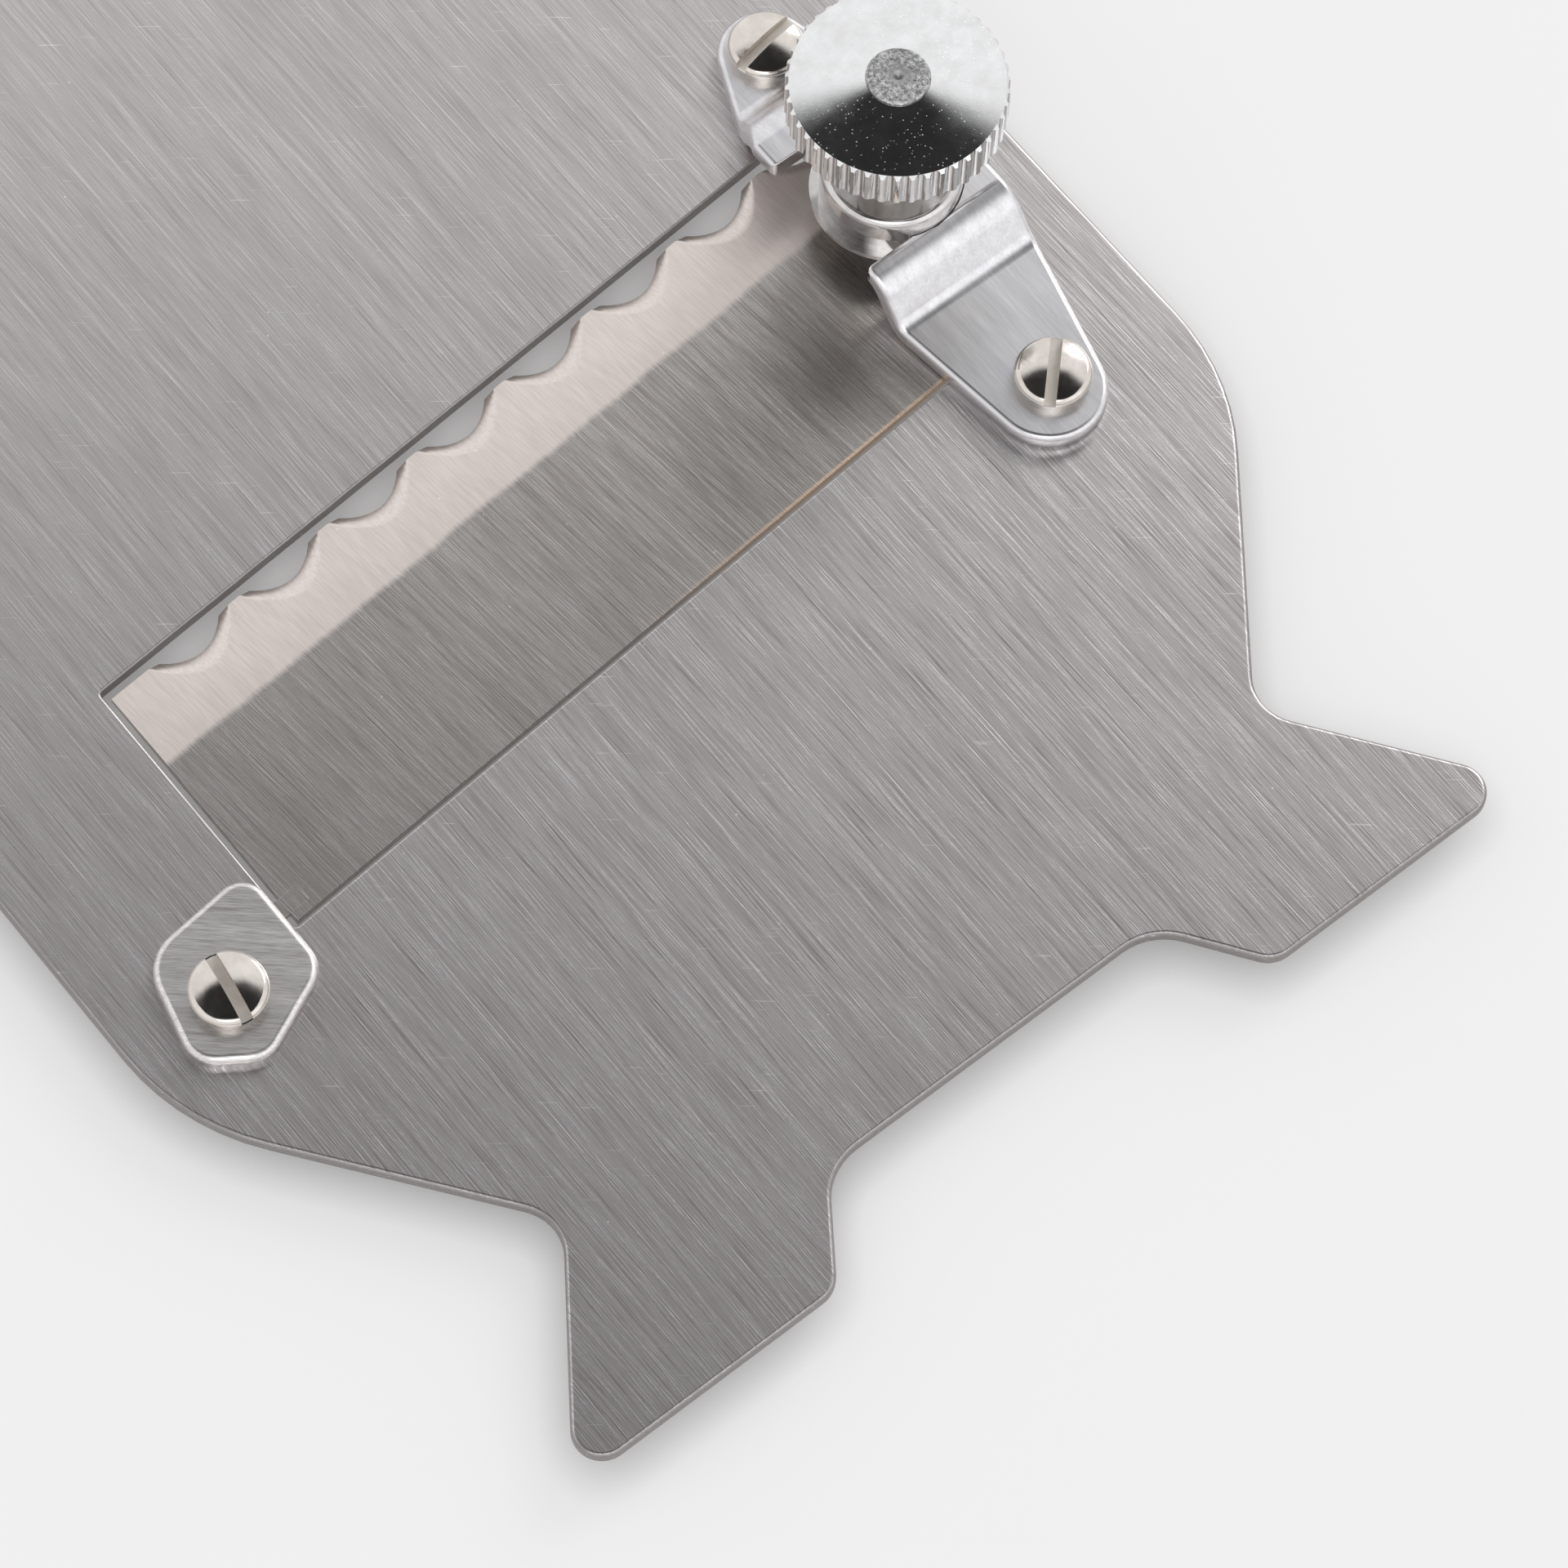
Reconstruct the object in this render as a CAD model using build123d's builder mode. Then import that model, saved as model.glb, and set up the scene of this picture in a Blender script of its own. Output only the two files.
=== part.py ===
import os
from math import atan2, cos, radians, sin, sqrt, tan

from build123d import *

# A hand held truffle slicer. X runs across the plate, Y from the feet to the handle, Z up out of the face that
# carries the bridge. The origin is the middle of the plate's outline on its flat underside. Sizes are in mm.

# Plate outline, heights along Y are measured from the feet end and insets from the plate's sides
plate_width = 80.0
plate_length = 184.0
plate_thickness = 1.0
plate_edge_round = 0.28
foot_tip_inset = 4.3
foot_width = 19.2
notch_slope_run = 4.4
notch_depth = 6.2
waist_inset = 13.9
waist_height = 13.2
shoulder_rise = 18.3
side_length = 46.5
neck_length = 26.0
handle_half = 13.0
foot_tip_round = 1.8
foot_inner_round = 2.0
notch_round = 4.0
waist_round = 3.0
shoulder_round = 16.0
neck_low_round = 18.0
neck_high_round = 24.0
handle_end_round = 12.6
hang_hole_radius = 3.5
hang_hole_inset = 10.0

# Blade slot, a parallelogram whose long edges are skewed and whose ends follow the plate's sides
slot_height = 49.2
slot_skew = 4.87
slot_half = 9.68
slot_inset_left = 12.7
slot_inset_right = 6.4
slot_corner_round = 0.3
slot_lip_round = 0.15

# Blade, lying in the slot below the plate's upper face
blade_gap_left = 0.45
blade_gap_right = 0.5
blade_gap_rear = 0.35
blade_gap_front = 0.6
blade_sink = 0.2
blade_thickness = 0.7
bevel_length = 5.0
bevel_drop = 0.25
scallop_pitch = 7.19
scallop_first_land = 2.5
scallop_radius = 6.74
scallop_reach = 2.6
scallop_slope = 21.8

# Pivot ears at both ends of the blade's rear edge, and the recesses that hold them
pivot_inset = 1.2
pivot_height = 0.68
ear_half = 0.6
ear_thickness = 0.3
ear_length_left = 2.6
ear_length_right = 1.2
ear_end_play = 0.3
ear_side_play = 0.25
recess_floor = 0.42

# Clip over the left ear, its reaches are measured from its screw
clip_screw_inset = 7.0
clip_screw_drop = 13.35
clip_thickness = 1.0
clip_right = 5.5
clip_apex = 5.86
clip_top_left = 2.6
clip_top_rise = 4.95
clip_left = 4.3
clip_left_drop = 2.25
clip_bottom = 4.75
clip_bottom_left = 0.6
clip_right_drop = 1.95
clip_apex_round = 1.6
clip_left_round = 3.0
clip_corner_round = 2.2
clip_edge_round = 0.45

# Place of the thumbscrew, its height along Y is measured from the slot's middle
thumbscrew_inset = 9.4
thumbscrew_rise = 4.1

# Bridge strap, its raised top and side notch are measured from the thumbscrew and its lugs from the slot's middle
bridge_inset = 9.45
bridge_thickness = 1.4
bridge_clear = 2.9
bridge_half = 5.35
bridge_top_rear = 5.45
bridge_top_front = 8.0
bridge_rear_run = 2.15
bridge_front_run = 1.9
bridge_bend = 1.2
bridge_taper = 1.9
bridge_notch_rear = 4.13
bridge_notch_front = 4.87
bridge_notch_reach = 1.85
rear_screw_inset = 9.5
rear_screw_drop = 11.7
rear_lug_inset = 10.1
rear_lug_drop = 12.0
rear_lug_radius = 3.7
front_lug_inset = 8.8
front_lug_rise = 17.1
front_lug_radius = 3.05

# Slotted domed screws
screw_radius = 1.25
screw_head_radius = 2.4
screw_rim = 0.95
screw_dome = 0.35
screw_edge_round = 0.45
screw_slot_width = 0.75
screw_slot_depth = 0.75
screw_tip_inset = 0.05
screw_clearance = 0.12
thread_play = 0.03
clip_screw_turn = 81.0
rear_screw_turn = 45.0
front_screw_turn = 9.0

# Bush in the bridge, around the thumbscrew, its height is measured from the bridge's top
bush_radius = 4.44
bush_height = 1.45
bush_top_round = 0.5
bush_flange_radius = 5.05
bush_flange_thickness = 0.4
fixed_play = 0.02

# Thumbscrew, its heights are measured from the plate's upper face
knob_radius = 6.75
knob_rim_height = 15.2
knurl_height = 3.0
knob_cone_rise = 0.45
knob_edge_chamfer = 0.22
knob_hub_radius = 3.4
knob_hub_height = 1.4
knurl_count = 46
knurl_groove_radius = 0.36
knurl_groove_depth = 0.27
boss_radius = 1.95
boss_rise = 0.3
boss_edge = 0.12
centre_mark_radius = 0.35
centre_mark_depth = 0.35
stem_radius = 2.0
stem_pitch = 0.7
stem_thread_depth = 0.4
stem_play = 0.05

# Pressure foot that swivels on the stem's tip
foot_gap = 0.06
foot_radius = 2.4
foot_height = 2.3
foot_dome_radius = 6.0
foot_socket_floor = 0.7
foot_lip = 0.5
tip_radius = 1.3
tip_neck_radius = 0.95
swivel_play = 0.05

# One overrun serves every cut
overrun = 5.0

# Places that follow from the sizes
side_x = plate_width / 2
foot_tip_x = side_x - foot_tip_inset
foot_inner_x = foot_tip_x - foot_width
slot_left = side_x - slot_inset_left
slot_right = side_x - slot_inset_right
thumbscrew_x = side_x - thumbscrew_inset
bridge_x = side_x - bridge_inset
rear_screw_x = side_x - rear_screw_inset
rear_lug_x = side_x - rear_lug_inset
front_lug_x = side_x - front_lug_inset
feet_y = -plate_length / 2
waist_y = feet_y + waist_height
side_low_y = waist_y + shoulder_rise
side_high_y = side_low_y + side_length
plate_top = plate_thickness
slot_y = feet_y + slot_height
skew = radians(slot_skew)
skew_cos = cos(skew)
skew_tan = tan(skew)
blade_plane = Plane(origin=(0, slot_y, 0), x_dir=(cos(skew), sin(skew), 0), z_dir=(0, 0, 1))
blade_top = plate_top - blade_sink
blade_bottom = blade_top - blade_thickness
blade_rear = -slot_half + blade_gap_rear
blade_front = slot_half - blade_gap_front
pivot_line = blade_rear + pivot_inset
thumbscrew_y = slot_y + thumbscrew_rise
bridge_top = plate_top + bridge_clear + bridge_thickness
lug_top = plate_top + bridge_thickness
rear_screw_y = slot_y - rear_screw_drop
rear_lug_y = slot_y - rear_lug_drop
front_screw_y = slot_y + front_lug_rise
clip_x = clip_screw_inset - side_x
clip_y = slot_y - clip_screw_drop
bush_top = bridge_top + bush_height
knob_rim = plate_top + knob_rim_height
knurl_bottom = knob_rim - knurl_height
hub_bottom = knurl_bottom - knob_hub_height
cone_top = knob_rim + knob_cone_rise
foot_bottom = blade_top + foot_gap
foot_top = foot_bottom + foot_height
turning_plane = Plane(origin=(thumbscrew_x, thumbscrew_y, 0), x_dir=(1, 0, 0), z_dir=(0, -1, 0))
turning_axis = Axis((thumbscrew_x, thumbscrew_y, 0), (0, 0, 1))


def slot_end(across, side):
    """Point of the slot plane on an end line that follows the plate's side, at a distance from the middle line."""
    return (side / skew_cos + across * skew_tan, across)


def draw_screw(x, y, seat, turn):
    """Slotted domed screw whose head rests at the seat height and whose tip ends inside the plate."""
    screw_plane = Plane(origin=(x, y, 0), x_dir=(1, 0, 0), z_dir=(0, -1, 0))
    head_top = seat + screw_rim + screw_dome
    half_way_x = screw_head_radius / 2
    dome_sphere = (screw_head_radius**2 + screw_dome**2) / (2 * screw_dome)
    half_way_z = head_top - dome_sphere + sqrt(dome_sphere**2 - half_way_x**2)
    with BuildSketch(screw_plane) as profile:
        with BuildLine():
            Polyline(
                (0, head_top),
                (0, screw_tip_inset),
                (screw_radius - thread_play, screw_tip_inset),
                (screw_radius - thread_play, seat),
                (screw_head_radius, seat),
                (screw_head_radius, seat + screw_rim),
            )
            ThreePointArc((screw_head_radius, seat + screw_rim), (half_way_x, half_way_z), (0, head_top))
        make_face()
        fillet(profile.vertices().group_by(Axis.X)[-1].sort_by(Axis.Y)[-1], radius=screw_edge_round)
    revolve(profile.sketch, axis=Axis((x, y, 0), (0, 0, 1)))
    with BuildSketch(Plane.XY.offset(head_top - screw_slot_depth)) as slot:
        with Locations(Location((x, y), turn)):
            Rectangle(2 * screw_head_radius + overrun, screw_slot_width)
    extrude(slot.sketch, amount=overrun, mode=Mode.SUBTRACT)


# Base plate: one stamped sheet with two splayed feet, a notch between them and a rounded handle
half_outline = [
    (foot_inner_x - notch_slope_run, feet_y + notch_depth),
    (foot_inner_x, feet_y),
    (foot_tip_x, feet_y),
    (side_x - waist_inset, waist_y),
    (side_x, side_low_y),
    (side_x, side_high_y),
    (handle_half, side_high_y + neck_length),
    (handle_half, feet_y + plate_length),
]
corner_rounds = [
    notch_round,
    foot_inner_round,
    foot_tip_round,
    waist_round,
    shoulder_round,
    neck_low_round,
    neck_high_round,
    handle_end_round,
]
mirrored_outline = [(-x, y) for x, y in reversed(half_outline)]
screw_places = [(clip_x, clip_y), (rear_screw_x, rear_screw_y), (front_lug_x, front_screw_y)]

with BuildPart() as base_plate:
    with BuildSketch() as outline:
        with BuildLine():
            Polyline(*half_outline, *mirrored_outline, close=True)
        make_face()
        for (corner_x, corner_y), corner_round in zip(half_outline, corner_rounds):
            corners = [
                v
                for v in outline.vertices()
                if abs(abs(v.X) - corner_x) < fixed_play and abs(v.Y - corner_y) < fixed_play
            ]
            fillet(corners, radius=corner_round)
    extrude(amount=plate_thickness)
    rim_edges = base_plate.faces().filter_by(Axis.Z).edges()
    fillet(rim_edges, radius=plate_edge_round)
    with BuildSketch(blade_plane) as slot_shape:
        with BuildLine():
            Polyline(
                slot_end(-slot_half, -slot_left),
                slot_end(-slot_half, slot_right),
                slot_end(slot_half, slot_right),
                slot_end(slot_half, -slot_left),
                close=True,
            )
        make_face()
        fillet(slot_shape.vertices(), radius=slot_corner_round)
    extrude(amount=plate_thickness, mode=Mode.SUBTRACT)
    lip_edges = base_plate.faces().filter_by(Axis.Z).sort_by(Axis.Z)[-1].inner_wires()[0].edges()
    fillet(lip_edges, radius=slot_lip_round)
    under_edges = base_plate.faces().filter_by(Axis.Z).sort_by(Axis.Z)[0].inner_wires()[0].edges()
    fillet(under_edges, radius=slot_lip_round)
    with Locations((0, feet_y + plate_length - hang_hole_inset, 0)):
        Hole(radius=hang_hole_radius)
    with Locations(*[(x, y, 0) for x, y in screw_places]):
        Hole(radius=screw_radius)
    # Half depth recesses beside the slot's ends take the blade's pivot ears
    with BuildSketch(blade_plane.offset(recess_floor)):
        recess_half = ear_half + ear_side_play
        for side, reach in ((-slot_left, -ear_length_left), (slot_right, ear_length_right)):
            play = ear_end_play if reach > 0 else -ear_end_play
            inner = slot_end(pivot_line, side)[0] - (reach + play) / 2
            outer = slot_end(pivot_line, side)[0] + reach + play
            with Locations(((inner + outer) / 2, pivot_line)):
                Rectangle(abs(outer - inner), 2 * recess_half)
    extrude(amount=plate_thickness, mode=Mode.SUBTRACT)
base_plate.part.label = "base_plate"

# Blade: flat body, a ground bevel towards the edge, hollow ground scallops and two pivot ears
with BuildPart() as blade:
    blade_left_side = -slot_left + blade_gap_left
    blade_right_side = slot_right - blade_gap_right
    with BuildSketch(blade_plane.offset(blade_bottom)):
        with BuildLine():
            Polyline(
                slot_end(blade_rear, blade_left_side),
                slot_end(blade_rear, blade_right_side),
                slot_end(blade_front, blade_right_side),
                slot_end(blade_front, blade_left_side),
                close=True,
            )
        make_face()
    extrude(amount=blade_thickness)
    # Ground bevel, a thin wedge off the upper face
    bevel_slope = bevel_drop / bevel_length
    wedge_plane = Plane(origin=(0, slot_y, 0), x_dir=blade_plane.y_dir, z_dir=blade_plane.x_dir)
    with BuildSketch(wedge_plane):
        with BuildLine():
            Polyline(
                (blade_front - bevel_length, blade_top),
                (blade_front + overrun, blade_top - bevel_slope * (bevel_length + overrun)),
                (blade_front + overrun, blade_top + overrun),
                (blade_front - bevel_length, blade_top + overrun),
                close=True,
            )
        make_face()
    extrude(amount=plate_width, both=True, mode=Mode.SUBTRACT)
    # Scallops, a row of round cutters that slope up from the edge towards the blade's back
    edge_length = slot_end(blade_front, blade_right_side)[0] - slot_end(blade_front, blade_left_side)[0]
    scallop_count = int((edge_length - scallop_first_land) / scallop_pitch)
    cutter_slope = radians(scallop_slope)
    first_middle = slot_end(blade_front, blade_left_side)[0] + scallop_first_land + scallop_pitch / 2
    reach_top = blade_top - bevel_slope * (bevel_length - scallop_reach)
    cutter_origin = blade_plane.from_local_coords((first_middle, blade_front - scallop_reach, reach_top))
    cutter_direction = blade_plane.z_dir * sin(cutter_slope) - blade_plane.y_dir * cos(cutter_slope)
    with BuildSketch(Plane(origin=cutter_origin, x_dir=blade_plane.x_dir, z_dir=cutter_direction)):
        with Locations(*[(i * scallop_pitch, scallop_radius) for i in range(scallop_count)]):
            Circle(scallop_radius)
    extrude(amount=side_x, both=True, mode=Mode.SUBTRACT)
    # Pivot ears, thinner than the blade
    with BuildSketch(blade_plane.offset(pivot_height - ear_thickness / 2)):
        for side, reach in ((blade_left_side, -ear_length_left), (blade_right_side, ear_length_right)):
            root = slot_end(pivot_line, side)[0] - reach / 2
            tip = slot_end(pivot_line, side)[0] + reach
            with Locations(((root + tip) / 2, pivot_line)):
                Rectangle(abs(tip - root), 2 * ear_half)
    extrude(amount=ear_thickness)
blade.part.label = "blade"

# Clip: a small shield shaped plate with its apex towards the slot's corner
with BuildPart() as blade_clip:
    with BuildSketch(Plane.XY.offset(plate_top)) as clip_outline:
        with BuildLine():
            Polyline(
                (clip_x + clip_right, clip_y + clip_apex),
                (clip_x - clip_top_left, clip_y + clip_top_rise),
                (clip_x - clip_left, clip_y - clip_left_drop),
                (clip_x - clip_bottom_left, clip_y - clip_bottom),
                (clip_x + clip_right, clip_y - clip_right_drop),
                close=True,
            )
        make_face()
        fillet(clip_outline.vertices().sort_by(Axis.Y)[:3], radius=clip_corner_round)
        fillet(clip_outline.vertices().sort_by(Axis.Y)[-1], radius=clip_apex_round)
        fillet(clip_outline.vertices().sort_by(Axis.Y)[-3:].sort_by(Axis.X)[0], radius=clip_left_round)
    extrude(amount=clip_thickness)
    fillet(blade_clip.faces().sort_by(Axis.Z)[-1].edges(), radius=clip_edge_round)
    with Locations((clip_x, clip_y, plate_top)):
        Hole(radius=screw_radius + screw_clearance)
blade_clip.part.label = "blade_clip"

with BuildPart() as clip_screw:
    draw_screw(clip_x, clip_y, plate_top + clip_thickness, clip_screw_turn)
clip_screw.part.label = "clip_screw"

# Bridge: a bent strap, two lugs flat on the plate and a raised middle that is notched from one side up to the bush
with BuildPart() as bridge:
    rear_shift = bridge_thickness * tan(atan2(bridge_clear, bridge_rear_run) / 2)
    front_shift = bridge_thickness * tan(atan2(bridge_clear, bridge_front_run) / 2)
    rear_end = rear_lug_y - rear_lug_radius
    front_end = front_screw_y + front_lug_radius
    rear_bend = thumbscrew_y - bridge_top_rear
    front_bend = thumbscrew_y + bridge_top_front
    rear_foot = rear_bend - bridge_rear_run
    front_foot = front_bend + bridge_front_run
    raised_under = plate_top + bridge_clear
    with BuildSketch(Plane(origin=(bridge_x, 0, 0), x_dir=(0, 1, 0), z_dir=(1, 0, 0))) as strap:
        with BuildLine():
            Polyline(
                (rear_end, plate_top),
                (rear_end, lug_top),
                (rear_foot, lug_top),
                (rear_bend, bridge_top),
                (front_bend, bridge_top),
                (front_foot, lug_top),
                (front_end, lug_top),
                (front_end, plate_top),
                (front_foot - front_shift, plate_top),
                (front_bend - front_shift, raised_under),
                (rear_bend + rear_shift, raised_under),
                (rear_foot + rear_shift, plate_top),
                close=True,
            )
        make_face()
        inner_bends = [
            v
            for v in strap.vertices()
            if rear_end < v.X < front_end and (abs(v.Y - lug_top) < fixed_play or abs(v.Y - raised_under) < fixed_play)
        ]
        outer_bends = [
            v
            for v in strap.vertices()
            if rear_end < v.X < front_end and (abs(v.Y - plate_top) < fixed_play or abs(v.Y - bridge_top) < fixed_play)
        ]
        fillet(inner_bends, radius=bridge_bend)
        fillet([v for v in strap.vertices() if any(abs(v.X - b.X) + abs(v.Y - b.Y) < fixed_play for b in outer_bends)],
               radius=bridge_bend + bridge_thickness)
    extrude(amount=bridge_half, both=True)
    # Plan outline of the strap: an even middle, and lugs that taper to round ends
    with BuildSketch(mode=Mode.PRIVATE) as rear_lug:
        with Locations((rear_lug_x, rear_lug_y)):
            Circle(rear_lug_radius)
        with Locations((bridge_x, rear_bend)):
            Rectangle(2 * bridge_half, 2 * bridge_rear_run)
        make_hull()
    with BuildSketch(mode=Mode.PRIVATE) as front_lug:
        with Locations((front_lug_x, front_screw_y)):
            Circle(front_lug_radius)
        with Locations((bridge_x, front_bend - bridge_taper)):
            Rectangle(2 * bridge_half, bridge_thickness)
        make_hull()
    with BuildSketch():
        add(rear_lug.sketch)
        add(front_lug.sketch)
        with Locations((bridge_x, (rear_bend + front_bend - bridge_taper) / 2)):
            Rectangle(2 * bridge_half, front_bend - bridge_taper - rear_bend)
    extrude(amount=bridge_top, mode=Mode.INTERSECT)
    with Locations((rear_screw_x, rear_screw_y, plate_top), (front_lug_x, front_screw_y, plate_top)):
        Hole(radius=screw_radius + screw_clearance)
    with Locations((thumbscrew_x, thumbscrew_y, plate_top)):
        Hole(radius=bush_radius + fixed_play)
    with BuildSketch(Plane.XY.offset(plate_top)):
        notch_middle_x = thumbscrew_x - bridge_notch_reach - (bridge_half + overrun) / 2
        notch_middle_y = thumbscrew_y + (bridge_notch_front - bridge_notch_rear) / 2
        with Locations((notch_middle_x, notch_middle_y)):
            Rectangle(bridge_half + overrun, bridge_notch_rear + bridge_notch_front)
    extrude(amount=bridge_top, mode=Mode.SUBTRACT)
bridge.part.label = "bridge"

with BuildPart() as bridge_rear_screw:
    draw_screw(rear_screw_x, rear_screw_y, lug_top, rear_screw_turn)
bridge_rear_screw.part.label = "bridge_rear_screw"

with BuildPart() as bridge_front_screw:
    draw_screw(front_lug_x, front_screw_y, lug_top, front_screw_turn)
bridge_front_screw.part.label = "bridge_front_screw"

# Threaded bush: a turned collar brazed into the bridge from below, its flange is cut flat beside the riser
with BuildPart() as threaded_bush:
    flange_top = plate_top + bridge_clear - fixed_play
    flange_bottom = flange_top - bush_flange_thickness
    bore = stem_radius + stem_play
    flat_y = rear_bend + (bridge_thickness + bridge_bend) * tan(atan2(bridge_clear, bridge_rear_run) / 2)
    with BuildSketch(turning_plane) as bush_half:
        with BuildLine():
            Polyline(
                (bore, flange_bottom),
                (bush_flange_radius, flange_bottom),
                (bush_flange_radius, flange_top),
                (bush_radius, flange_top),
                (bush_radius, bush_top),
                (bore, bush_top),
                close=True,
            )
        make_face()
        fillet(bush_half.vertices().group_by(Axis.Y)[-1].sort_by(Axis.X)[-1], radius=bush_top_round)
    revolve(axis=turning_axis)
    with BuildSketch(Plane.XY.offset(flange_bottom)):
        with Locations((thumbscrew_x, flat_y - overrun / 2)):
            Rectangle(2 * bush_flange_radius + overrun, overrun)
    extrude(amount=bush_flange_thickness, mode=Mode.SUBTRACT)
threaded_bush.part.label = "threaded_bush"

# Knob: a straight knurled disc with a low cone on top and a hub below
with BuildPart() as knob:
    with BuildSketch(turning_plane):
        with BuildLine():
            Polyline(
                (stem_radius + fixed_play, hub_bottom),
                (knob_hub_radius, hub_bottom),
                (knob_hub_radius, knurl_bottom),
                (knob_radius - knob_edge_chamfer, knurl_bottom),
                (knob_radius, knurl_bottom + knob_edge_chamfer),
                (knob_radius, knob_rim - knob_edge_chamfer),
                (knob_radius - knob_edge_chamfer, knob_rim),
                (boss_radius + fixed_play, cone_top),
                (stem_radius + fixed_play, knob_rim),
                close=True,
            )
        make_face()
    revolve(axis=turning_axis)
    with BuildSketch(Plane.XY.offset(knurl_bottom)):
        with Locations((thumbscrew_x, thumbscrew_y)):
            with PolarLocations(knob_radius - knurl_groove_depth + knurl_groove_radius, knurl_count):
                Circle(knurl_groove_radius)
    extrude(amount=knurl_height, mode=Mode.SUBTRACT)
knob.part.label = "knob"

# Stem: threaded spindle with an upset end in the knob and a headed tip for the pressure foot
with BuildPart() as stem:
    tip_floor = foot_bottom + foot_socket_floor + swivel_play
    tip_top = foot_top - foot_lip - swivel_play
    thread_start = foot_top + 2 * swivel_play
    thread_turns = int((hub_bottom - thread_start) / stem_pitch)
    boss_top = cone_top + boss_rise
    thread_points = []
    for turn in range(thread_turns):
        turn_bottom = thread_start + turn * stem_pitch
        thread_points.append((stem_radius - stem_thread_depth, turn_bottom))
        thread_points.append((stem_radius, turn_bottom + stem_pitch / 2))
    thread_end = thread_start + thread_turns * stem_pitch
    with BuildSketch(turning_plane):
        with BuildLine():
            Polyline(
                (0, tip_floor),
                (tip_radius, tip_floor),
                (tip_radius, tip_top),
                (tip_neck_radius, tip_top),
                (tip_neck_radius, thread_start),
                *thread_points,
                (stem_radius - stem_thread_depth, thread_end),
                (stem_radius, thread_end + stem_thread_depth),
                (stem_radius, knob_rim),
                (boss_radius, cone_top),
                (boss_radius, boss_top - boss_edge),
                (boss_radius - boss_edge, boss_top),
                (centre_mark_radius, boss_top),
                (0, boss_top - centre_mark_depth),
                close=True,
            )
        make_face()
    revolve(axis=turning_axis)
stem.part.label = "stem"

# Pressure foot: a small domed cup whose lip is closed in over the stem's headed tip
with BuildPart() as pressure_foot:
    dome_half = foot_radius / 2
    dome_mid = foot_bottom + foot_dome_radius - sqrt(foot_dome_radius**2 - dome_half**2)
    dome_rim = foot_bottom + foot_dome_radius - sqrt(foot_dome_radius**2 - foot_radius**2)
    with BuildSketch(turning_plane):
        with BuildLine():
            ThreePointArc((0, foot_bottom), (dome_half, dome_mid), (foot_radius, dome_rim))
            Polyline(
                (foot_radius, dome_rim),
                (foot_radius, foot_top),
                (tip_neck_radius + swivel_play, foot_top),
                (tip_neck_radius + swivel_play, foot_top - foot_lip),
                (tip_radius + swivel_play, foot_top - foot_lip),
                (tip_radius + swivel_play, foot_bottom + foot_socket_floor),
                (0, foot_bottom + foot_socket_floor),
                (0, foot_bottom),
            )
        make_face()
    revolve(axis=turning_axis)
pressure_foot.part.label = "pressure_foot"

os.makedirs("parts", exist_ok=True)
for built in (
    base_plate,
    blade,
    blade_clip,
    clip_screw,
    bridge,
    bridge_rear_screw,
    bridge_front_screw,
    threaded_bush,
    knob,
    stem,
    pressure_foot,
):
    export_step(built.part, f"parts/{built.part.label}.step")
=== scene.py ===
from math import cos, radians, sin

import bmesh
import bpy
from mathutils import Matrix, Vector


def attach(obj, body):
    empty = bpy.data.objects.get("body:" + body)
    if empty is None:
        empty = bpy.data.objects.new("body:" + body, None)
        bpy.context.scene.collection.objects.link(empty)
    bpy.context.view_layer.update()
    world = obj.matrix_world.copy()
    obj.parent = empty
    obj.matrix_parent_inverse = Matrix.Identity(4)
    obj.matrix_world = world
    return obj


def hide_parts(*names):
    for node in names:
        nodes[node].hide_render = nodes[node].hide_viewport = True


# The looks of a hand held steel truffle slicer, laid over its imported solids. Metres throughout, in the solids' frame:
# X across the plate, Y from the feet to the handle, Z out of the face with the thumbscrew.

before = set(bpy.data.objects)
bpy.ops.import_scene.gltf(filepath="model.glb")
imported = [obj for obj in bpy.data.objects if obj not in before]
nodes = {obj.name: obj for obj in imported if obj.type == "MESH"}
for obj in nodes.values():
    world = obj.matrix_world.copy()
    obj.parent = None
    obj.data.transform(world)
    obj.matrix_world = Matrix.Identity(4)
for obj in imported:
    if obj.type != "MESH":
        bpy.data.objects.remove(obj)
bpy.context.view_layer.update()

MM = 0.001

# Places that the finishes are centred on
THUMBSCREW = Vector((30.6, -38.7, 0)) * MM
REAR_SCREW = Vector((30.5, -54.5, 0)) * MM
FRONT_SCREW = Vector((31.2, -25.7, 0)) * MM
CLIP_SCREW = Vector((-33.0, -56.15, 0)) * MM
BLADE_MIDDLE = Vector((3.15, -42.8, 0)) * MM
BLADE_SKEW = radians(4.87)
CLIP_GRAIN = radians(48)
NICK_SLANT = 0.9

# The rest of these are in mm. Where on Y the plate's grain starts to be worn, and where it is worn most
WEAR_STARTS, WEAR_FULL = -58.0, 0.0
# Across the blade from its middle, where the ground bevel fades in, and the two sides of the painted copper coloured
# reflection on its rear edge
BEVEL_STARTS, BEVEL_FULL, REFLECTION_EDGE_STARTS, REFLECTION_EDGE_FULL = 3.9, 4.35, -8.83, -8.88
# Along the blade from its middle, where the painted copper coloured reflection on the rear edge fades in
WARM_REFLECTION_STARTS, WARM_REFLECTION_FULL = -4.0, 10.0
# Heights that the slots of the screws in the bridge and in the clip lie below, and how far out they reach
BRIDGE_SLOT, CLIP_SLOT, SCREW_SLOT_REACH = 3.25, 2.85, 2.3
# Height of the spindle's riveted end, and how far out its centre mark and its smoother ring reach
RIVETED_END, CENTRE_MARK, SMOOTH_RING = 16.5, 0.35, 1.1
# Edge roundings, and how near two loose vertices of a solid are one
STRAP_ROUND, STRAP_JOIN, BLADE_ROUND, BLADE_JOIN = 0.4, 0.02, 0.05, 0.0005
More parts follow.
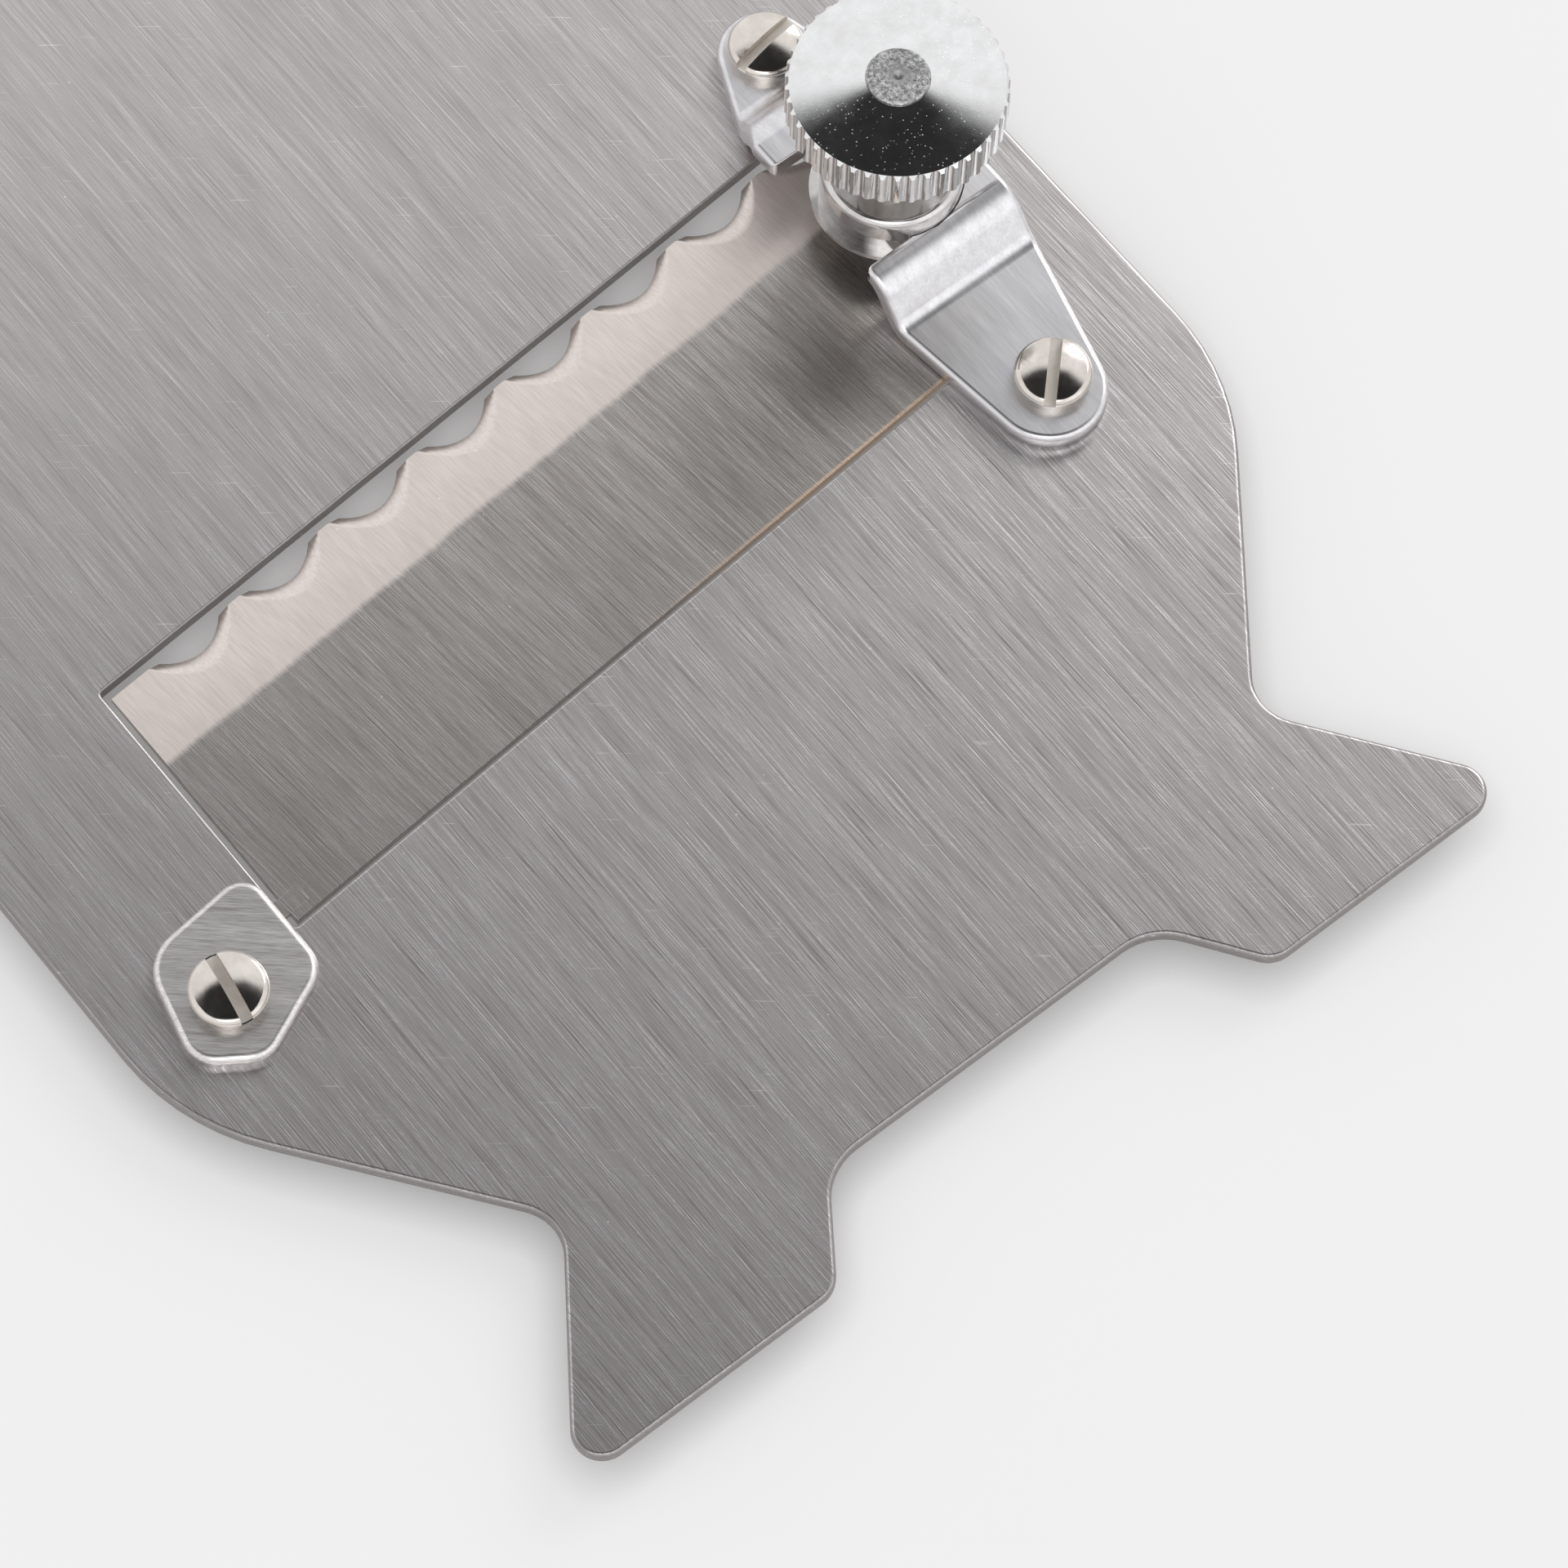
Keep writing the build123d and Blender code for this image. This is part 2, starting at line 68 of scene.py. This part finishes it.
# The strap's wall beside the bush is thin, as a range of X and one of Y
WALL_BY_BUSH = ((25.6, 35.6), (-43.2, -33.5))
# The slicer is propped a little above the sweep, which leaves room under it for the blade when it tilts down
FLOOR_DROP = 2.2


# ---------------------------------------------------------------- colours and nodes

def linear(code):
    """An sRGB hex colour as linear RGBA."""
    parts = [int(code[i:i + 2], 16) / 255 for i in (1, 3, 5)]
    return [p / 12.92 if p <= 0.04045 else ((p + 0.055) / 1.055) ** 2.4 for p in parts] + [1.0]


def in_use(sockets, key=0):
    """The socket of that name or place, among those that the node's settings leave in use."""
    usable = [socket for socket in sockets if socket.enabled]
    return usable[key] if isinstance(key, int) else next(s for s in usable if s.name == key)


def add(tree, kind, inputs=(), **settings):
    """Adds a node. Its inputs are a list in order or a dict by name, each a value, a socket, or a node whose first
    output is linked. Its settings are its own properties, or a ramp's stops, each a place with a hex colour or grey."""
    node = tree.nodes.new("ShaderNode" + kind)
    stops = settings.pop("stops", ())
    for key, value in settings.items():
        setattr(node, key, value)
    while stops and len(node.color_ramp.elements) < len(stops):
        node.color_ramp.elements.new(0.5)
    for number, (at, shade) in enumerate(stops):
        element = node.color_ramp.elements[number]
        element.position = at
        element.color = linear(shade) if isinstance(shade, str) else (shade, shade, shade, 1)
    for key, value in inputs.items() if isinstance(inputs, dict) else enumerate(inputs):
        value = in_use(value.outputs) if isinstance(value, bpy.types.Node) else value
        if isinstance(value, bpy.types.NodeSocket):
            tree.links.new(value, in_use(node.inputs, key))
        else:
            in_use(node.inputs, key).default_value = value
    return node


def finish_material(name, surface):
    """A new material whose shader is what surface(tree) makes."""
    material = bpy.data.materials.new(name)
    material.use_nodes = True
    material.node_tree.nodes.clear()
    add(material.node_tree, "OutputMaterial", {"Surface": surface(material.node_tree)})
    return material


# ---------------------------------------------------------------- patterns

def measured(tree, size=(1, 1, 1), middle=(0, 0, 0), turn=0.0):
    """Object coordinates about a middle, turned in the plate's plane, in steps of that size in mm."""
    coordinates = add(tree, "TexCoord").outputs["Object"]
    centred = add(tree, "VectorMath", [coordinates, Vector(middle)], operation="SUBTRACT")
    straightened = add(tree, "Mapping", {"Vector": centred, "Rotation": (0, 0, -turn)})
    return add(tree, "Mapping", {"Vector": straightened, "Scale": [1 / (step * MM) for step in size]})


def mottle(tree, size, detail=2.0, rough=0.5, middle=(0, 0, 0), turn=0.0):
    """Soft uneven patches of about that size in mm, as a grey about one half."""
    return add(tree, "TexNoise", {"Vector": measured(tree, size, middle, turn), "Scale": 1.0, "Detail": detail,
                                  "Roughness": rough})


def flecks(tree, cell, share, radius, middle=(0, 0, 0)):
    """Small round marks of uneven strength, one in each cell of that size in mm for that share of the cells."""
    cells = add(tree, "TexVoronoi", {"Vector": measured(tree, (cell, cell, cell), middle), "Scale": 1.0}, feature="F1")
    chance = add(tree, "SeparateColor", [cells.outputs["Color"]]).outputs
    chosen = add(tree, "Math", [chance["Red"], share], operation="LESS_THAN")
    inside = add(tree, "Math", [cells.outputs["Distance"], radius], operation="LESS_THAN")
    strength = add(tree, "Math", [chance["Green"], 0.8, 0.2], operation="MULTIPLY_ADD")
    marks = add(tree, "Math", [chosen, inside], operation="MULTIPLY")
    return add(tree, "Math", [marks, strength], operation="MULTIPLY")


def brushed(tree, streak, length, broad_share=0.45, middle=(0, 0, 0), turn=0.0):
    """Brush streaks along Y, of a width and length in mm, as a grey about one half, and the wide bands among them."""
    fine = mottle(tree, (streak, length, streak), 3.0, 0.6, middle, turn)
    broad = mottle(tree, (streak * 4, length * 6, streak * 4), middle=middle, turn=turn)
    wide = mottle(tree, (streak * 25, length * 14, streak * 25), middle=middle, turn=turn)
    fine_part = add(tree, "Math", [fine, 1 - broad_share], operation="MULTIPLY")
    return add(tree, "Math", [broad, broad_share, fine_part], operation="MULTIPLY_ADD"), wide


def across_grain(tree, turn=0.0):
    """The direction across the grain of a flat face whose grain runs along Y turned by that angle."""
    return add(tree, "CombineXYZ", [cos(turn), sin(turn), 0.0])


# ---------------------------------------------------------------- finishes

def plate_surface(tree):
    # Cold rolled 18/10 stainless sheet, belt brushed along its length: fine straight streaks under 0.1 mm wide
    streaks, wide = brushed(tree, 0.075, 4.5, 0.2)
    shade = add(tree, "ValToRGB", [streaks],
                stops=((0.32, "#837c7a"), (0.44, "#b5b0af"), (0.56, "#cfcbcb"), (0.68, "#faf7f7")))
    # Food and hands have worn the grain smoother towards the handle
    towards_handle = add(tree, "SeparateXYZ", [measured(tree)]).outputs["Y"]
    worn = add(tree, "MapRange", [towards_handle, WEAR_STARTS, WEAR_FULL, 0.0, 0.6])
    shade = add(tree, "Mix", [worn, shade, linear("#c1bdbc")], data_type="RGBA")
    bands = add(tree, "ValToRGB", [wide], stops=((0.3, "#b5b1b0"), (0.7, "#d2cfce")))
    shade = add(tree, "Mix", [0.15, shade, bands], data_type="RGBA")
    # The rolled over rim is duller than the brushed face, and is painted darker: a painted shade that dims the
    # highlight along the edge
    upright = add(tree, "SeparateXYZ", [add(tree, "TexCoord").outputs["Normal"]]).outputs["Z"]
    rim = add(tree, "MapRange", [upright, 0.97, 0.80, 0.0, 1.0])
    rim_painted_shade_share = add(tree, "Math", [rim, 0.85], operation="MULTIPLY")
    shade = add(tree, "Mix", [rim_painted_shade_share, shade, linear("#8f8c8a")], data_type="RGBA")
    # Bright pinpricks and slanting nicks from use
    nicks = add(tree, "ValToRGB", [mottle(tree, (0.14, 3.2, 0.14), turn=NICK_SLANT)], stops=((0.70, 0.0), (0.74, 1.0)))
    faint_nicks = add(tree, "Math", [nicks, 0.6], operation="MULTIPLY")
    marks = add(tree, "Math", [flecks(tree, 1.3, 0.35, 0.05), faint_nicks], operation="MAXIMUM")
    mark_share = add(tree, "Math", [marks, 0.7], operation="MULTIPLY")
    smoothness = add(tree, "ValToRGB", [streaks], stops=((0.3, 0.34), (0.7, 0.24)))
    unworn = add(tree, "Math", [1.0, worn], operation="SUBTRACT")
    return add(tree, "BsdfPrincipled", {
        "Base Color": add(tree, "Mix", [mark_share, shade, linear("#ffffff")], data_type="RGBA"),
        "Metallic": 1.0, "Anisotropic": 0.68, "Tangent": across_grain(tree),
        "Roughness": add(tree, "Math", [rim, 0.16, smoothness], operation="MULTIPLY_ADD"),
        "Normal": add(tree, "Bump", {"Strength": unworn, "Distance": 0.014 * MM, "Height": streaks})})


def blade_surface(tree):
    # Hardened stainless strip, brushed coarser than the plate, with a fine ground bevel that looks paler and warmer
    streaks, wide = brushed(tree, 0.07, 3.6, 0.12, turn=BLADE_SKEW)
    body = add(tree, "ValToRGB", [streaks],
               stops=((0.32, "#827c78"), (0.44, "#a8a29e"), (0.56, "#c3bdb9"), (0.68, "#e2dcd8")))
    bands = add(tree, "ValToRGB", [wide], stops=((0.3, "#a39d99"), (0.7, "#cac5c1")))
    body = add(tree, "Mix", [0.25, body, bands], data_type="RGBA")
    grind = mottle(tree, (0.12, 3.0, 0.12), turn=BLADE_SKEW)
    bevel = add(tree, "ValToRGB", [grind], stops=((0.3, "#dcd2cb"), (0.7, "#eae0da")))
    # The line where the bevel begins wavers along the blade, and each streak of the grind ends at its own place
    waver = mottle(tree, (5.0, 60.0, 60.0), 1.0, turn=BLADE_SKEW)
    ragged = mottle(tree, (0.1, 3.0, 3.0), 1.0, turn=BLADE_SKEW)
    along, across = add(tree, "SeparateXYZ", [measured(tree, middle=BLADE_MIDDLE, turn=BLADE_SKEW)]).outputs[0:2]
    unevenness = add(tree, "Math", [waver, ragged], operation="ADD")
    line = add(tree, "Math", [unevenness, 0.45, across], operation="MULTIPLY_ADD")
    on_bevel = add(tree, "MapRange", [line, BEVEL_STARTS, BEVEL_FULL, 0.0, 1.0])
    # A painted reflection: towards the bridge the rear edge is painted copper coloured, standing for a warm reflection
    # in that rounded edge
    on_rear_edge = add(tree, "MapRange", [across, REFLECTION_EDGE_STARTS, REFLECTION_EDGE_FULL, 0.0, 1.0])
    near_bridge = add(tree, "MapRange", [along, WARM_REFLECTION_STARTS, WARM_REFLECTION_FULL, 0.0, 1.0])
    rear_edge_painted_reflection = add(tree, "Math", [on_rear_edge, near_bridge], operation="MULTIPLY")
    shade = add(tree, "Mix", [on_bevel, body, bevel], data_type="RGBA")
    shade = add(tree, "Mix", [rear_edge_painted_reflection, shade, linear("#ecd2bb")], data_type="RGBA")
    dot_share = add(tree, "Math", [flecks(tree, 1.2, 0.4, 0.06), 0.7], operation="MULTIPLY")
    smoothness = add(tree, "ValToRGB", [streaks], stops=((0.3, 0.33), (0.7, 0.23)))
    ground = add(tree, "Math", [on_bevel, 0.7], operation="MULTIPLY")
    return add(tree, "BsdfPrincipled", {
        "Base Color": add(tree, "Mix", [dot_share, shade, linear("#fffaf5")], data_type="RGBA"),
        "Metallic": 1.0, "Anisotropic": 0.65, "Tangent": across_grain(tree, BLADE_SKEW),
        "Roughness": add(tree, "Math", [on_bevel, 0.14, smoothness], operation="MULTIPLY_ADD"),
        "Normal": add(tree, "Bump", {"Strength": add(tree, "Math", [0.9, ground], operation="SUBTRACT"),
                                     "Distance": 0.012 * MM, "Height": streaks})})


def clip_surface(tree):
    # Stainless sheet, tumbled after cutting: soft edges and short scratches across it
    streaks, wide = brushed(tree, 0.06, 1.2, 0.3, CLIP_SCREW, CLIP_GRAIN)
    return add(tree, "BsdfPrincipled", {
        "Base Color": add(tree, "ValToRGB", [streaks], stops=((0.3, "#b6b1ae"), (0.5, "#dedbd9"), (0.7, "#fbf8f5"))),
        "Metallic": 1.0, "Anisotropic": 0.55, "Tangent": across_grain(tree, CLIP_GRAIN),
        "Roughness": add(tree, "ValToRGB", [wide], stops=((0.3, 0.36), (0.7, 0.28))),
        "Normal": add(tree, "Bump", {"Strength": 0.7, "Distance": 0.010 * MM, "Height": streaks})})


def bridge_surface(tree):
    # Bent stainless strap, satin, with faint streaks along it
    streaks, wide = brushed(tree, 0.16, 2.4)
    return add(tree, "BsdfPrincipled", {
        "Base Color": add(tree, "ValToRGB", [streaks], stops=((0.3, "#cbcacb"), (0.5, "#dad9da"), (0.7, "#e9e8e9"))),
        "Metallic": 1.0, "Anisotropic": 0.45, "Tangent": across_grain(tree),
        "Roughness": add(tree, "ValToRGB", [wide], stops=((0.3, 0.33), (0.7, 0.27))),
        "Normal": add(tree, "Bump", {"Strength": 0.4, "Distance": 0.005 * MM, "Height": streaks})})


def turned(middle, dark, pale, roughness, ring=0.12, specks=0.0, sawn_below=0.0):
    """A finish for a turned piece: faint rings about its axis, small specks, and a rough sawn slot below a height."""
    def surface(tree):
        x, y, height = add(tree, "SeparateXYZ", [measured(tree, middle=middle)]).outputs
        outward = add(tree, "CombineXYZ", [x, y, 0.0])
        radius = add(tree, "VectorMath", [outward], operation="LENGTH")
        around = add(tree, "VectorMath", [(0, 0, 1), outward], operation="CROSS_PRODUCT")
        cloud = mottle(tree, (1.2, 1.2, 1.2), 3.0, 0.6, middle)
        spots = flecks(tree, 0.16, specks, 0.24, middle)
        # Tool marks are rings at even steps out from the axis and up it
        steps_out = add(tree, "Math", [radius, ring], operation="DIVIDE")
        steps_up = add(tree, "Math", [height, ring], operation="DIVIDE")
        steps = add(tree, "CombineXYZ", [steps_out, steps_up, 0.0])
        rings = add(tree, "TexNoise", {"Vector": steps, "Scale": 1.0, "Detail": 2.0, "Roughness": 0.5})
        pits = mottle(tree, (0.11, 0.11, 0.11), 2.0, 0.6, middle)
        both = add(tree, "Math", [rings, pits], operation="ADD")
        halved = add(tree, "Math", [both, 0.5], operation="MULTIPLY")
        relief = add(tree, "Math", [spots, 2.0, halved], operation="MULTIPLY_ADD")
        dull = add(tree, "ValToRGB", [cloud], stops=((0.3, roughness), (0.7, roughness * 1.6)))
        if sawn_below:
            low = add(tree, "MapRange", [height, sawn_below, sawn_below - 0.1, 0.0, 0.42])
            within = add(tree, "Math", [radius, SCREW_SLOT_REACH], operation="LESS_THAN")
            dull = add(tree, "Math", [low, within, dull], operation="MULTIPLY_ADD")
        metal = add(tree, "ValToRGB", [cloud], stops=((0.3, dark), (0.7, pale)))
        spot_share = add(tree, "Math", [spots, 0.6], operation="MULTIPLY")
        return add(tree, "BsdfPrincipled", {
            "Base Color": add(tree, "Mix", [spot_share, metal, linear("#ffffff")], data_type="RGBA"),
            "Metallic": 1.0, "Anisotropic": 0.15, "Tangent": around,
            "Roughness": add(tree, "Math", [spots, 0.3, dull], operation="MULTIPLY_ADD"),
            "Normal": add(tree, "Bump", {"Strength": 0.35, "Distance": 0.004 * MM, "Height": relief})})
    return surface


def stem_surface(tree):
    # Steel spindle: satin thread, and an upset end that is left rough from riveting, dark in its pits
    x, y, height = add(tree, "SeparateXYZ", [measured(tree, middle=THUMBSCREW)]).outputs
    on_end = add(tree, "MapRange", [height, RIVETED_END, RIVETED_END + 0.1, 0.0, 1.0])
    radius = add(tree, "VectorMath", [add(tree, "CombineXYZ", [x, y, 0.0])], operation="LENGTH")
    off_middle = add(tree, "MapRange", [radius, CENTRE_MARK, SMOOTH_RING, 0.15, 1.0])
    lumps = mottle(tree, (0.26, 0.26, 0.26), 4.0, 0.7, THUMBSCREW)
    fine = mottle(tree, (0.09, 0.09, 0.09), 3.0, 0.6, THUMBSCREW)
    # The patches fade out towards the centre mark
    lump_depth = add(tree, "Math", [lumps, 0.5], operation="SUBTRACT")
    patches = add(tree, "Math", [lump_depth, off_middle, 0.5], operation="MULTIPLY_ADD")
    shade = add(tree, "ValToRGB", [patches],
                stops=((0.34, "#6e6e6e"), (0.46, "#969695"), (0.54, "#b0b0af"), (0.68, "#dadad9")))
    rough_end = add(tree, "Math", [on_end, off_middle], operation="MULTIPLY")
    relief = add(tree, "Math", [add(tree, "Math", [lumps, fine], operation="ADD"), rough_end], operation="MULTIPLY")
    return add(tree, "BsdfPrincipled", {
        "Base Color": add(tree, "Mix", [on_end, linear("#b4b2af"), shade], data_type="RGBA"),
        "Metallic": 1.0,
        "Roughness": add(tree, "Math", [on_end, 0.12, 0.26], operation="MULTIPLY_ADD"),
        "Normal": add(tree, "Bump", {"Strength": 0.5, "Distance": 0.05 * MM, "Height": relief})})


def nickel(middle, sawn_below):
    # Nickel plated screw, a polished dome with a faintly warm cast
    return turned(middle, "#cfc8c0", "#e2dcd4", 0.10, sawn_below=sawn_below)


FINISHES = {
    "base_plate": finish_material("brushed_stainless_plate", plate_surface),
    "blade": finish_material("ground_stainless_blade", blade_surface),
    "blade_clip": finish_material("tumbled_stainless_clip", clip_surface),
    "clip_screw": finish_material("nickel_clip_screw", nickel(CLIP_SCREW, CLIP_SLOT)),
    "bridge": finish_material("satin_bent_strap", bridge_surface),
    "bridge_rear_screw": finish_material("nickel_rear_screw", nickel(REAR_SCREW, BRIDGE_SLOT)),
    "bridge_front_screw": finish_material("nickel_front_screw", nickel(FRONT_SCREW, BRIDGE_SLOT)),
    # Polished steel, in which the strap and the room show sharply, broken by faint turned rings
    "threaded_bush": finish_material("polished_ring", turned(THUMBSCREW, "#c6c3c1", "#dcdad8", 0.07, 0.10)),
    # Bright chrome over turned brass, mirror like with fine dust specks
    "knob": finish_material("dusty_chrome_knob", turned(THUMBSCREW, "#dededd", "#ecedec", 0.06, 0.14, 0.2)),
    "stem": finish_material("riveted_spindle_steel", stem_surface),
    # Satin turned steel with soft broad highlights
    "pressure_foot": finish_material("satin_foot_steel", turned(THUMBSCREW, "#b0aeab", "#c4c2bf", 0.25)),
}
for name, material in FINISHES.items():
    if not nodes[name].material_slots:
        nodes[name].data.materials.append(material)
    for material_slot in nodes[name].material_slots:
        material_slot.material = material


# ---------------------------------------------------------------- pieces with softened edges

def softened(node_name, body, radius, join_within, thin_wall=None):
    """A copy of a node with its sharp edges rounded, less inside the thin_wall box, which stands for the node."""
    mesh = nodes[node_name].data.copy()
    bm = bmesh.new()
    bm.from_mesh(mesh)
    bmesh.ops.remove_doubles(bm, verts=bm.verts, dist=join_within * MM)
    bmesh.ops.dissolve_limit(bm, angle_limit=radians(0.5), verts=bm.verts, edges=bm.edges)
    share = bm.edges.layers.float.new("bevel_weight_edge")
    for edge in bm.edges:
        middle = (edge.verts[0].co + edge.verts[1].co) / 2
        near_wall = thin_wall and all(low < at < high for at, (low, high) in zip(middle / MM, thin_wall))
        edge[share] = 0.0 if edge.calc_face_angle() < radians(35) else 0.25 if near_wall else 1.0
    bm.to_mesh(mesh)
    bm.free()
    piece = bpy.data.objects.new(node_name + "_softened", mesh)
    bpy.context.scene.collection.objects.link(piece)
    rounding = piece.modifiers.new("edges", "BEVEL")
    rounding.width = radius * MM
    rounding.segments = 3
    rounding.limit_method = "WEIGHT"
    rounding.use_clamp_overlap = thin_wall is None
    flattening = piece.modifiers.new("flats", "WEIGHTED_NORMAL")
    flattening.weight = 100
    mesh.shade_smooth()
    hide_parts(node_name)
    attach(piece, body)


softened("bridge", "plate", STRAP_ROUND, STRAP_JOIN, WALL_BY_BUSH)
softened("blade", "blade", BLADE_ROUND, BLADE_JOIN)


# ---------------------------------------------------------------- floor, light and camera

def sweep_surface(tree):
    # Pale paper. Seen by the eye or in the metal it shows a little of its own light, which ambient occlusion dims near
    # the plate as a painted shade; the paper itself keeps the real shadow
    rays = add(tree, "LightPath").outputs
    seen = add(tree, "Math", [rays["Is Camera Ray"], rays["Is Glossy Ray"]], operation="MAXIMUM")
    # Painted shade: the glow fades under and beside the plate
    open_air = add(tree, "AmbientOcclusion", {"Distance": 3 * MM}, samples=8).outputs["AO"]
    clear_of_plate = add(tree, "Math", [open_air, 1.5], operation="POWER")
    shaded_glow = add(tree, "Math", [clear_of_plate, seen], operation="MULTIPLY")
    strength = add(tree, "Math", [shaded_glow, 0.56], operation="MULTIPLY")
    paper = add(tree, "BsdfDiffuse", {"Color": linear("#aaa9a8")})
    return add(tree, "AddShader", [paper, add(tree, "Emission", {"Color": linear("#eeeded"), "Strength": strength})])


floor_mesh = bpy.data.meshes.new("floor")
bm = bmesh.new()
bmesh.ops.create_grid(bm, x_segments=1, y_segments=1, size=3.0)
bmesh.ops.translate(bm, verts=bm.verts, vec=(0, 0, -FLOOR_DROP * MM))
bm.to_mesh(floor_mesh)
bm.free()
floor_mesh.materials.append(finish_material("pale_floor", sweep_surface))
floor = bpy.data.objects.new("floor", floor_mesh)
bpy.context.scene.collection.objects.link(floor)

# The room is bright low down and has a dark opening overhead, which leans a little towards the camera
ROOM_BRIGHT, OPENING_DARK, OPENING_INSIDE, OPENING_OUTSIDE, LEAN = 1.1, 0.03, radians(27), radians(34), radians(2)
OPENING = Vector((-0.656 * sin(LEAN), -0.755 * sin(LEAN), cos(LEAN)))
# A soft window beyond the feet and one behind the camera: where each stands, how far its even middle and its faded
# rim reach in degrees, and how much light it adds
WINDOWS = (((0.26, -0.82, 0.51), 12, 34, 0.35), ((-0.40, -0.46, 0.79), 9, 24, 1.8))


def angle_from(tree, direction, towards):
    """The angle between the direction looked in and another."""
    facing = add(tree, "VectorMath", [direction, towards], operation="DOT_PRODUCT")
    return add(tree, "Math", [facing], operation="ARCCOSINE")


world = bpy.data.worlds.new("studio")
world.use_nodes = True
tree = world.node_tree
tree.nodes.clear()
direction = add(tree, "VectorMath", [add(tree, "TexCoord").outputs["Generated"]], operation="NORMALIZE")
bright = add(tree, "MapRange",
             [angle_from(tree, direction, OPENING), OPENING_INSIDE, OPENING_OUTSIDE, OPENING_DARK, ROOM_BRIGHT],
             interpolation_type="SMOOTHERSTEP")
for stands, even, faded, more in WINDOWS:
    off = angle_from(tree, direction, Vector(stands).normalized())
    glow = add(tree, "MapRange", [off, radians(even), radians(faded), more, 0.0], interpolation_type="SMOOTHSTEP")
    bright = add(tree, "Math", [bright, glow], operation="ADD")
backdrop = add(tree, "Background", {"Color": linear("#f6f6f8"), "Strength": bright})
add(tree, "OutputWorld", {"Surface": backdrop})
bpy.context.scene.world = world

# One soft box to the right, so that the plate's right half is paler
SOFTBOX_AT, SOFTBOX_AIM = Vector((0.9, 0.2, 0.55)), Vector((0, -0.03, 0))
lamp = bpy.data.lights.new("side_softbox", "AREA")
lamp.shape = "SQUARE"
lamp.size = 0.5
lamp.energy = 3.0
softbox = bpy.data.objects.new("side_softbox", lamp)
bpy.context.scene.collection.objects.link(softbox)
softbox.location = SOFTBOX_AT
softbox.rotation_euler = (SOFTBOX_AIM - SOFTBOX_AT).to_track_quat("-Z", "Y").to_euler()

# The camera stands where the plate's edges and the thumbscrew's height in the photograph put it
CAMERA_AT = (-0.10622, -0.18877, 0.34988)
AZIMUTH, ELEVATION, ROLL = radians(-40.96), radians(64.88), radians(2.52)
back = Vector((sin(AZIMUTH) * cos(ELEVATION), -cos(AZIMUTH) * cos(ELEVATION), sin(ELEVATION)))
level = Vector((cos(AZIMUTH), sin(AZIMUTH), 0))
right = level * cos(ROLL) + back.cross(level) * sin(ROLL)
top = back.cross(right)
lens = bpy.data.cameras.new("camera")
lens.lens = 149.44
lens.sensor_width = 36
lens.clip_start = 0.01
camera = bpy.data.objects.new("camera", lens)
bpy.context.scene.collection.objects.link(camera)
camera.matrix_world = Matrix.Translation(CAMERA_AT) @ Matrix((right, top, back)).transposed().to_4x4()
bpy.context.scene.camera = camera
bpy.context.scene.view_settings.view_transform = "Standard"

bpy.context.view_layer.update()
